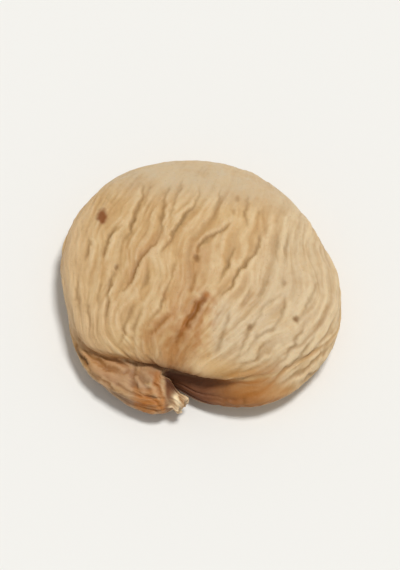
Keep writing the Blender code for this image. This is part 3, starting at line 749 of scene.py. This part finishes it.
class Nodes:
    def __init__(self, name):
        self.material = bpy.data.materials.new(name)
        self.material.use_nodes = True
        self.tree = self.material.node_tree
        self.shader = self.tree.nodes["Principled BSDF"]

    def add(self, kind, **settings):
        node = self.tree.nodes.new(kind)
        for key, value in settings.items():
            setattr(node, key, value)
        return node

    def link(self, a, b):
        self.tree.links.new(a, b)

    def attribute(self, name):
        return self.add("ShaderNodeAttribute", attribute_name=name).outputs["Fac"]

    def noise(self, scale, detail=3.0, roughness=0.55):
        node = self.add("ShaderNodeTexNoise")
        node.inputs["Scale"].default_value = scale
        node.inputs["Detail"].default_value = detail
        node.inputs["Roughness"].default_value = roughness
        self.link(self.place, node.inputs["Vector"])
        return node.outputs["Fac"]

    def remap(self, value, low, high, to_low=0.0, to_high=1.0):
        node = self.add("ShaderNodeMapRange")
        for key, x in zip(("From Min", "From Max", "To Min", "To Max"), (low, high, to_low, to_high)):
            node.inputs[key].default_value = x
        self.link(value, node.inputs["Value"])
        return node.outputs["Result"]

    def math(self, operation, a, b):
        node = self.add("ShaderNodeMath", operation=operation)
        for socket, x in zip(node.inputs, (a, b)):
            if isinstance(x, (int, float)):
                socket.default_value = x
            else:
                self.link(x, socket)
        return node.outputs[0]

    def mix(self, factor, a, b, blend="MIX"):
        node = self.add("ShaderNodeMix", data_type="RGBA", blend_type=blend)
        for socket, x in zip((node.inputs[0], node.inputs[6], node.inputs[7]), (factor, a, b)):
            if isinstance(x, (int, float, tuple)):
                socket.default_value = x
            else:
                self.link(x, socket)
        return node.outputs[2]


def skin_material():
    n = Nodes("fig_skin")
    n.place = n.add("ShaderNodeTexCoord").outputs["Object"]
    patches = n.noise(110, 2.0)
    mottle = n.noise(420, 4.0, 0.6)
    blotch = n.noise(230, 3.0, 0.6)
    grain = n.noise(1500, 3.0, 0.6)
    speck = n.noise(2600, 2.0, 0.5)
    n.place = n.add("ShaderNodeAttribute", attribute_name="flow").outputs["Vector"]
    lines = n.noise(0.9, 3.0, 0.6)
    threads = n.noise(2.4, 2.0, 0.55)
    colour = n.mix(n.remap(patches, 0.35, 0.65), linear(194, 155, 104), linear(203, 168, 118))
    colour = n.mix(n.math("MULTIPLY", n.attribute("right"), 0.74), colour, linear(202, 182, 150))
    colour = n.mix(n.math("MULTIPLY", n.remap(lines, 0.50, 0.70), 0.36), colour, linear(176, 131, 78))
    colour = n.mix(n.math("MULTIPLY", n.remap(threads, 0.52, 0.72), 0.16), colour, linear(172, 128, 76))
    colour = n.mix(n.math("MULTIPLY", n.remap(n.attribute("streak"), 0.45, 0.9), 0.36), colour, linear(218, 194, 153))
    # Painted highlight: ridge crests made paler.
    ridge_highlight = n.math("MULTIPLY", n.attribute("ridge"), n.remap(mottle, 0.35, 0.7, 0.18, 0.64))
    colour = n.mix(ridge_highlight, colour, linear(229, 208, 170))
    colour = n.mix(n.remap(mottle, 0.52, 0.78, 0.0, 0.34), colour, linear(184, 144, 94))
    colour = n.mix(n.remap(blotch, 0.50, 0.75, 0.0, 0.36), colour, linear(188, 150, 98))
    # Painted light on the left side.
    colour = n.mix(n.math("MULTIPLY", n.attribute("left_rim_painted_light"), 0.6), colour, linear(216, 184, 142))
    colour = n.mix(n.math("MULTIPLY", n.attribute("rim"), n.remap(mottle, 0.3, 0.7, 0.92, 0.50)), colour, linear(197, 178, 148))
    # Painted shade: grooves darkened.
    colour = n.mix(n.math("MULTIPLY", n.attribute("groove_shade"), 0.42), colour, linear(154, 114, 66))
    # Painted shade: the drawn creases darkened.
    colour = n.mix(n.math("MULTIPLY", n.attribute("crease"), 0.70), colour, linear(120, 88, 38))
    colour = n.mix(n.math("MULTIPLY", n.attribute("stain"), n.remap(mottle, 0.3, 0.7, 0.7, 1.0)), colour, linear(159, 91, 7))
    colour = n.mix(n.math("MULTIPLY", n.attribute("core"), 0.72), colour, linear(120, 70, 0))
    colour = n.mix(n.math("MULTIPLY", n.attribute("honey"), 0.52), colour, linear(186, 134, 50))
    colour = n.mix(n.math("MULTIPLY", n.attribute("lip_shade"), 0.58), colour, linear(144, 102, 58))
    colour = n.mix(n.math("MULTIPLY", n.attribute("neck"), n.remap(lines, 0.38, 0.62, 0.40, 0.95)), colour, linear(152, 120, 92))
    # Painted highlight: ridges on the neck made paler.
    colour = n.mix(n.math("MULTIPLY", n.math("MULTIPLY", n.attribute("neck"), n.attribute("ridge")), 0.55), colour, linear(203, 169, 131))
    # Painted shade: grooves on the neck darkened.
    colour = n.mix(n.math("MULTIPLY", n.math("MULTIPLY", n.attribute("neck"), n.attribute("groove_shade")), 0.46), colour, linear(110, 76, 50))
    colour = n.mix(n.math("MULTIPLY", n.attribute("orange"), n.remap(lines, 0.35, 0.65, 0.66, 1.0)), colour, linear(174, 100, 2))
    # The band under the lip: own colour and painted shade.
    colour = n.mix(n.math("MULTIPLY", n.attribute("band"), n.remap(lines, 0.35, 0.65, 0.70, 1.0)), colour, linear(166, 103, 34))
    # Painted shade on the belly's lower edge.
    colour = n.mix(n.math("MULTIPLY", n.attribute("low_band_shade"), 0.6), colour, linear(136, 84, 38))
    # Painted shade: the hollow under the lip.
    colour = n.mix(n.math("MULTIPLY", n.attribute("hollow_shade"), 0.94), colour, linear(112, 62, 30))
    # Painted highlight at the lip and along the neck's edges.
    colour = n.mix(n.math("MULTIPLY", n.attribute("pale_highlight"), 0.75), colour, linear(226, 194, 148))
    colour = n.mix(n.math("MULTIPLY", n.attribute("spot"), 0.94), colour, linear(126, 66, 8))
    colour = n.mix(n.math("MULTIPLY", n.attribute("pit"), 0.80), colour, linear(108, 68, 10))
    colour = n.mix(n.math("MULTIPLY", n.attribute("shaded"), 0.72), colour, linear(78, 40, 19))
    # Stem colour from its fibres and painted highlight streaks.
    straw = n.mix(n.attribute("fibre_and_shine"), linear(160, 114, 68), linear(252, 230, 190))
    straw = n.mix(n.math("MULTIPLY", n.attribute("pith"), 0.7), straw, linear(122, 82, 50))
    colour = n.mix(n.attribute("stem"), colour, straw)
    colour = n.mix(n.remap(speck, 0.66, 0.74, 0.0, 0.28), colour, linear(130, 92, 54))
    n.link(colour, n.shader.inputs["Base Color"])
    rough = n.math("ADD", n.remap(mottle, 0.3, 0.7, 0.50, 0.66), n.math("MULTIPLY", n.attribute("ridge"), 0.08))
    n.link(rough, n.shader.inputs["Roughness"])
    n.shader.inputs["Specular IOR Level"].default_value = 0.40
    n.shader.inputs["Subsurface Weight"].default_value = 0.06
    n.shader.inputs["Subsurface Radius"].default_value = (1.0, 0.45, 0.2)
    n.shader.inputs["Subsurface Scale"].default_value = 0.0012
    bump = n.add("ShaderNodeBump")
    bump.inputs["Strength"].default_value = 0.7
    bump.inputs["Distance"].default_value = 0.0002
    relief = n.math("ADD", n.math("MULTIPLY", grain, 0.55), n.math("MULTIPLY", mottle, 0.6))
    relief = n.math("ADD", relief, n.math("MULTIPLY", speck, 0.25))
    n.link(n.math("ADD", relief, n.math("MULTIPLY", threads, 0.5)), bump.inputs["Height"])
    n.link(bump.outputs["Normal"], n.shader.inputs["Normal"])
    return n.material


mesh.materials.append(skin_material())
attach(fig, "root")
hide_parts("dried_fig")

# ---------------------------------------------------------------------------------------------------------------
# Floor, light and camera.
# ---------------------------------------------------------------------------------------------------------------
bpy.ops.mesh.primitive_plane_add(size=4, location=(0, 0, 0))
floor = bpy.context.object
floor.name = "floor"
f = Nodes("floor")
f.shader.inputs["Base Color"].default_value = (0.82, 0.82, 0.81, 1)
f.shader.inputs["Roughness"].default_value = 0.9
f.shader.inputs["Specular IOR Level"].default_value = 0.1
floor.data.materials.append(f.material)

world = bpy.data.worlds.new("world")
bpy.context.scene.world = world
world.use_nodes = True
sky = world.node_tree
height_of = sky.nodes.new("ShaderNodeSeparateXYZ")
fade = sky.nodes.new("ShaderNodeMapRange")
fade.interpolation_type = "SMOOTHSTEP"
for key, x in zip(("From Min", "From Max", "To Min", "To Max"), (0.10, 0.50, 0.895, 0.33)):
    fade.inputs[key].default_value = x
sky.links.new(sky.nodes.new("ShaderNodeTexCoord").outputs["Generated"], height_of.inputs[0])
sky.links.new(height_of.outputs["Z"], fade.inputs["Value"])
sky.links.new(fade.outputs["Result"], sky.nodes["Background"].inputs["Strength"])
sky.nodes["Background"].inputs["Color"].default_value = (1.0, 0.99, 0.96, 1)


key = bpy.data.objects.new("key", bpy.data.lights.new("key", "SUN"))
key.data.energy, key.data.color, key.data.angle = 2.35, (1.0, 0.985, 0.95), math.radians(15)
key.rotation_euler = Vector((0.25, 0.10, 1.0)).to_track_quat("Z", "Y").to_euler()
bpy.context.scene.collection.objects.link(key)

ELEVATION = math.radians(62)
TARGET = Vector((0.0, -0.0005, 0.006))
DISTANCE = 0.6165
camera = bpy.data.objects.new("camera", bpy.data.cameras.new("camera"))
camera.data.lens = 200
camera.data.clip_start, camera.data.clip_end = 0.01, 10
back = Vector((0, -math.cos(ELEVATION), math.sin(ELEVATION)))
camera.location = TARGET + back * DISTANCE
camera.rotation_euler = (-back).to_track_quat("-Z", "Y").to_euler()
bpy.context.scene.collection.objects.link(camera)
bpy.context.scene.camera = camera
bpy.context.scene.view_settings.view_transform = "Standard"
